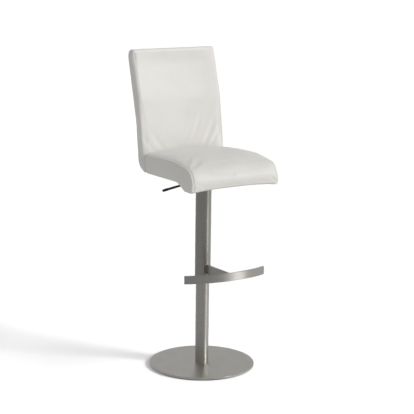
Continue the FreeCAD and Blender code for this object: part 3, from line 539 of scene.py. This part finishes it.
def back_point(u, v, w):
    """v runs from the top down to the lower end; w from the rear to the front."""
    thick = (BACK_FRONT.point(v) - BACK_REAR.point(v)).length / MM
    side_in = BACK_HALF * (1 - abs(u))
    top_in = BACK_LENGTH * v
    front_in = thick * (1 - w)
    fades_in = smooth(0.03, 0.25, v)
    at_fold = fades_in if w == 1.0 and side_in < 0.01 else 0.0
    at_gusset = smooth(0.0, 0.05, v) if w == GUSSET_SEAM and side_in < 0.01 else 0.0
    side_in, front_in = rolled(side_in, front_in, FRONT_SIDE_ROUND, min(thick * THIN_SHARE, FRONT_SIDE_DEPTH))
    rear_in = thick - front_in
    side_in, rear_in = rolled(side_in, rear_in, min(thick * THIN_SHARE, BACK_SIDE_ROUND))
    side_in, top_in = rolled(side_in, top_in, TOP_CORNER_ROUND)
    rear_in, top_in = rolled(rear_in, top_in, REAR_TOP_ROUND)
    front_in, top_in = rolled(thick - rear_in, top_in, FRONT_TOP_ROUND)
    edge = 1 - side_in / BACK_HALF
    v = top_in / BACK_LENGTH
    w = 1 - front_in / thick
    front = BACK_FRONT.point(v)
    rear = BACK_REAR.point(v)
    ends = smooth(0.0, 0.14, v)
    bolster = (BOLSTER_TOP + (BOLSTER - BOLSTER_TOP) * ends) * domed(edge, 10)
    dish = DISH * ends * (1 - edge ** 2.5)
    press = FOLD_DEPTH * at_fold + crease(math.copysign(edge * BACK_HALF, u), front.y / MM, BACK_FOLDS)
    swell = ends * (1 - 0.8 * smooth(0.72, 0.95, v))
    bevel = BEVEL_DEEP * swell * max(0.0, 1 - side_in / BEVEL_WIDE)
    front = front - BACK_FRONT.normal(v) * (bolster - dish - bevel - press) * MM
    fullness = REAR_CROWN * domed(edge, 6) * smooth(0.0, 0.06, v)
    fullness -= REAR_DRAWN_IN * swell * smooth(0.74, 1.0, edge)
    rear = rear + BACK_REAR.normal(v) * fullness * MM
    spot = rear.lerp(front, w)
    x = (BACK_HALF + BACK_SWELL * swell) * edge - GUSSET_SEAM_DEPTH * at_gusset - FOLD_DRAWN_IN * at_fold
    return Vector((math.copysign(x, u) * MM, spot.x, spot.y))


SETTLING_FRAMES = 20


def settle(cushion, held, cap=2.0):
    """Lets the leather find its own shape over the filling: cloth with air in it, held along its seams.

    No point moves more than cap millimetres.
    """
    points = cushion.data.vertices
    cut_shape = [point.co.copy() for point in points]
    sewn = cushion.vertex_groups.new(name="sewn")
    sewn.add(held, 1.0, "REPLACE")
    cloth = cushion.modifiers.new("leather", "CLOTH")
    cloth.settings.vertex_group_mass = sewn.name
    cloth.settings.use_pressure = True
    cloth.settings.uniform_pressure_force = 4.0
    cloth.settings.bending_stiffness = 8.0
    cloth.settings.effector_weights.gravity = 0.0
    for number in range(1, SETTLING_FRAMES + 1):
        bpy.context.scene.frame_set(number)
    result = cushion.evaluated_get(bpy.context.evaluated_depsgraph_get())
    settled = [point.co.copy() for point in result.data.vertices]
    cushion.modifiers.remove(cloth)
    cushion.vertex_groups.remove(sewn)
    for point, before, after in zip(points, cut_shape, settled):
        shift = after - before
        point.co = before + shift * min(1.0, cap * MM / max(shift.length, 1e-9))
    bpy.context.scene.frame_set(1)


def make_cushion(name, columns, rows, layers, place, sewn, stands_for):
    cushion, shares = lattice(name, columns, rows, layers, place)
    settle(cushion, [number for number, share in enumerate(shares) if sewn(*share)])
    smoothing = cushion.modifiers.new("soft_skin", "SUBSURF")
    smoothing.levels = 1
    smoothing.render_levels = 1
    for polygon in cushion.data.polygons:
        polygon.use_smooth = True
    paint(cushion, LEATHER)
    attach(cushion, "seat")
    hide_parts(*stands_for)
    return cushion


def seat_sewn(u, v, w):
    """The underside, the ends and the side seams stay where they are sewn."""
    at_side_seam = abs(SEAT_HALF * (1 - abs(u)) - SEAT_SEAM_IN) < 0.5
    return w == 0.0 or v in (0.0, 1.0) or (w == 1.0 and (at_side_seam or abs(u) == 1.0))


def back_sewn(u, v, w):
    """The rear panel, the ends and the gusset's seams stay where they are sewn."""
    return w == 0.0 or v in (0.0, 1.0) or (abs(u) == 1.0 and w in (GUSSET_SEAM, 1.0))


seat = make_cushion("seat_cushion", across(SEAT_HALF, 4.0, 5, 80), evenly(0, 1, 100), evenly(0, 1, 20),
                    seat_point, seat_sewn, ("seat_cover", "seat_foam"))
beside_seam = [GUSSET_SEAM - 0.04, GUSSET_SEAM, GUSSET_SEAM + 0.04]
back = make_cushion("back_cushion", across(BACK_HALF, 4.0, 6, 72), evenly(0, 1, 110),
                    evenly(0, 0.44, 5) + beside_seam + evenly(0.6, 1, 5),
                    back_point, back_sewn, ("back_cover", "back_foam"))


# one stitch as rings of thread: (place along it in mm, share of full thickness)
STITCH_RINGS = [(-1.8, 0.35), (-1.2, 1.0), (1.2, 1.0), (1.8, 0.35)]
THREAD_RADIUS = 0.45
THREAD_SIDES = 6
THREAD_LIFT = 0.2           # its middle lies this far above the leather, so it is partly sunk in


def add_stitch(thread, middle, along, up):
    """One visible stitch, 3.6 mm of thread with rounded ends."""
    side = along.cross(up).normalized()
    rings = []
    for place, fullness in STITCH_RINGS:
        centre = middle + (along * place + up * THREAD_LIFT * fullness) * MM
        ring = []
        for n in range(THREAD_SIDES):
            turn = math.tau * n / THREAD_SIDES
            outward = side * math.cos(turn) + up * math.sin(turn)
            ring.append(thread.verts.new(centre + outward * THREAD_RADIUS * fullness * MM))
        rings.append(ring)
    for near, far in zip(rings, rings[1:]):
        for n in range(THREAD_SIDES):
            after = (n + 1) % THREAD_SIDES
            thread.faces.new((near[n], near[after], far[after], far[n]))
    thread.faces.new(rings[0][::-1])
    thread.faces.new(rings[-1])


def sew(name, cushion, routes, pitch=5.0):
    """Top stitching laid on a cushion's skin along each route, one stitch every pitch millimetres."""
    skin = BVHTree.FromObject(cushion, bpy.context.evaluated_depsgraph_get())
    thread = bmesh.new()
    for route in routes:
        next_at = pitch / 2
        for a, b in zip(route, route[1:]):
            run = (b - a).length / MM
            while next_at < run:
                spot, up, _, _ = skin.find_nearest(a.lerp(b, next_at / run))
                add_stitch(thread, spot, (b - a).normalized(), up)
                next_at += pitch
            next_at -= run
    bmesh.ops.recalc_face_normals(thread, faces=thread.faces)
    mesh = bpy.data.meshes.new(name)
    thread.to_mesh(mesh)
    thread.free()
    stitching = bpy.data.objects.new(name, mesh)
    bpy.context.scene.collection.objects.link(stitching)
    paint(stitching, THREAD)
    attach(stitching, "seat")


# the rows run on the inner side of each seam: this far from the seat's seams, and from the back's sides
SEAT_ROW_IN = 4.5
BACK_ROW_IN = 14.0
SEAT_ROW = 1 - (SEAT_SEAM_IN + SEAT_ROW_IN) / SEAT_HALF
BACK_ROW = 1 - BACK_ROW_IN / BACK_HALF
seat_rows = [[seat_point(u, v, 1.0) for v in evenly(0.05, 0.97, 160)] for u in (-SEAT_ROW, SEAT_ROW)]
back_rows = [[back_point(u, v, 1.0) for v in evenly(0.03, 0.86, 160)] for u in (-BACK_ROW, BACK_ROW)]
back_rows.append([back_point(u, 0.03, 1.0) for u in evenly(-BACK_ROW, BACK_ROW, 80)])
sew("seat_top_stitching", seat, seat_rows)
sew("back_top_stitching", back, back_rows)
paint_frame()


# ---------------------------------------------------------------- floor, backdrop, light, camera

FLOOR_GLOW = 0.16
STAGE_RADIUS = 60           # metres, far enough that the horizon never shows an edge


def make_stage():
    """A pale floor that fades into a pale backdrop."""
    floor_paint, tree = new_material("pale_floor")
    matte = add(tree, "ShaderNodeBsdfDiffuse", values={"Color": grey(0.80)})
    glow = add(tree, "ShaderNodeEmission", values={"Color": grey(1.0), "Strength": FLOOR_GLOW})
    both = add(tree, "ShaderNodeAddShader", links={0: matte.outputs[0], 1: glow.outputs[0]})
    finish_material(floor_paint, both)
    sky_paint, tree = new_material("pale_backdrop")
    finish_material(sky_paint, add(tree, "ShaderNodeEmission", values={"Color": grey(1.0), "Strength": 1.0}))

    floor = bmesh.new()
    bmesh.ops.create_circle(floor, cap_ends=True, segments=96, radius=STAGE_RADIUS)
    dome = bmesh.new()
    bmesh.ops.create_uvsphere(dome, u_segments=64, v_segments=32, radius=STAGE_RADIUS)
    for name, shape, material in (("floor", floor, floor_paint), ("backdrop", dome, sky_paint)):
        mesh = bpy.data.meshes.new(name)
        shape.to_mesh(mesh)
        shape.free()
        obj = bpy.data.objects.new(name, mesh)
        bpy.context.scene.collection.objects.link(obj)
        paint(obj, material)
        obj.visible_glossy = False
        obj.visible_diffuse = False
        if name == "backdrop":
            obj.visible_shadow = False
            obj.visible_transmission = False


def sun(name, bearing, height, strength, spread, only=None):
    """A distant soft light that comes from a bearing (0 is +X, 90 is +Y) and a height, in degrees.

    With only, it lights just the objects in that collection.
    """
    lamp = bpy.data.lights.new(name, "SUN")
    lamp.energy = strength
    lamp.angle = math.radians(spread)
    obj = bpy.data.objects.new(name, lamp)
    bpy.context.scene.collection.objects.link(obj)
    b, h = math.radians(bearing), math.radians(height)
    towards = Vector((math.cos(b) * math.cos(h), math.sin(b) * math.cos(h), math.sin(h)))
    obj.rotation_mode = "QUATERNION"
    obj.rotation_quaternion = towards.to_track_quat("Z", "Y")
    if only:
        obj.light_linking.receiver_collection = only


KEY_FROM = (-53, 27)
KEY = 1.1
FLOOR_KEY = 3.1             # on the floor alone: it whitens the floor and casts the shadow there
OVERHEAD = 0.02
ROOM = 0.41
ROOM_SIDES = [(-20, 5, 3, 0.5), (56, 20, 3, 0.17), (0, -90, 0.5, 0.1), (-53, -10, 200, 3.8)]


def make_room():
    """The studio around the stool: an even grey with pale panels in it, three broad and one narrow.

    Each panel is (bearing, height, how tightly it fades, strength).
    """
    world = bpy.data.worlds.new("soft_room")
    bpy.context.scene.world = world
    world.use_nodes = True
    tree = world.node_tree
    tree.nodes.clear()
    look = add(tree, "ShaderNodeTexCoord").outputs["Generated"]
    total = None
    for bearing, height, tightness, strength in ROOM_SIDES:
        b, h = math.radians(bearing), math.radians(height)
        towards = (math.cos(b) * math.cos(h), math.sin(b) * math.cos(h), math.sin(h))
        facing = add(tree, "ShaderNodeVectorMath", {"operation": "DOT_PRODUCT"}, {1: towards}, {0: look})
        lit = add(tree, "ShaderNodeMath", {"operation": "MAXIMUM"}, {1: 0.0}, {0: facing.outputs["Value"]})
        panel = add(tree, "ShaderNodeMath", {"operation": "POWER"}, {1: tightness}, {0: lit.outputs["Value"]})
        sum_so_far = add(tree, "ShaderNodeMath", {"operation": "MULTIPLY_ADD"}, {1: strength, 2: ROOM},
                         {0: panel.outputs["Value"]})
        if total:
            tree.links.new(total.outputs["Value"], sum_so_far.inputs[2])
        total = sum_so_far
    glow = add(tree, "ShaderNodeBackground", values={"Color": grey(1.0)},
               links={"Strength": total.outputs["Value"]})
    add(tree, "ShaderNodeOutputWorld", links={"Surface": glow.outputs[0]})


def make_light():
    """A key from the sitter's front left, a faint fill from above, and the room."""
    sun("key", *KEY_FROM, KEY, 20)
    ground = bpy.data.collections.new("ground")
    ground.objects.link(bpy.data.objects["floor"])
    sun("floor_key", *KEY_FROM, FLOOR_KEY, 20, ground)
    sun("overhead", -90, 80, OVERHEAD, 100)
    make_room()


CAMERA_BEARING = math.radians(-33.621)
CAMERA_DISTANCE = 5.4689
CAMERA_HEIGHT = 1.8192
CAMERA_PITCH = math.radians(11.6235)
CAMERA_ROLL = math.radians(0.7137)
CAMERA_YAW = math.radians(-0.1585)
FOCAL_LENGTH = 114.76


def make_camera():
    """A long lens at eye height, ahead of the stool and to the sitter's right."""
    lens = bpy.data.cameras.new("camera")
    lens.lens = FOCAL_LENGTH
    lens.sensor_width = 36.0
    lens.clip_end = 500.0
    camera = bpy.data.objects.new("camera", lens)
    bpy.context.scene.collection.objects.link(camera)
    outward = Vector((math.sin(CAMERA_BEARING), -math.cos(CAMERA_BEARING), 0))
    forward = Matrix.Rotation(CAMERA_YAW, 3, "Z") @ -outward
    right = forward.cross(Vector((0, 0, 1)))
    ahead = forward * math.cos(CAMERA_PITCH) - Vector((0, 0, math.sin(CAMERA_PITCH)))
    above = right.cross(ahead)
    level = right * math.cos(CAMERA_ROLL) + above * math.sin(CAMERA_ROLL)
    upright = above * math.cos(CAMERA_ROLL) - right * math.sin(CAMERA_ROLL)
    turn = Matrix((level, upright, -ahead)).transposed().to_4x4()
    camera.matrix_world = Matrix.Translation(outward * CAMERA_DISTANCE + Vector((0, 0, CAMERA_HEIGHT))) @ turn
    bpy.context.scene.camera = camera


make_stage()
make_light()
make_camera()
bpy.context.scene.view_settings.view_transform = "Standard"
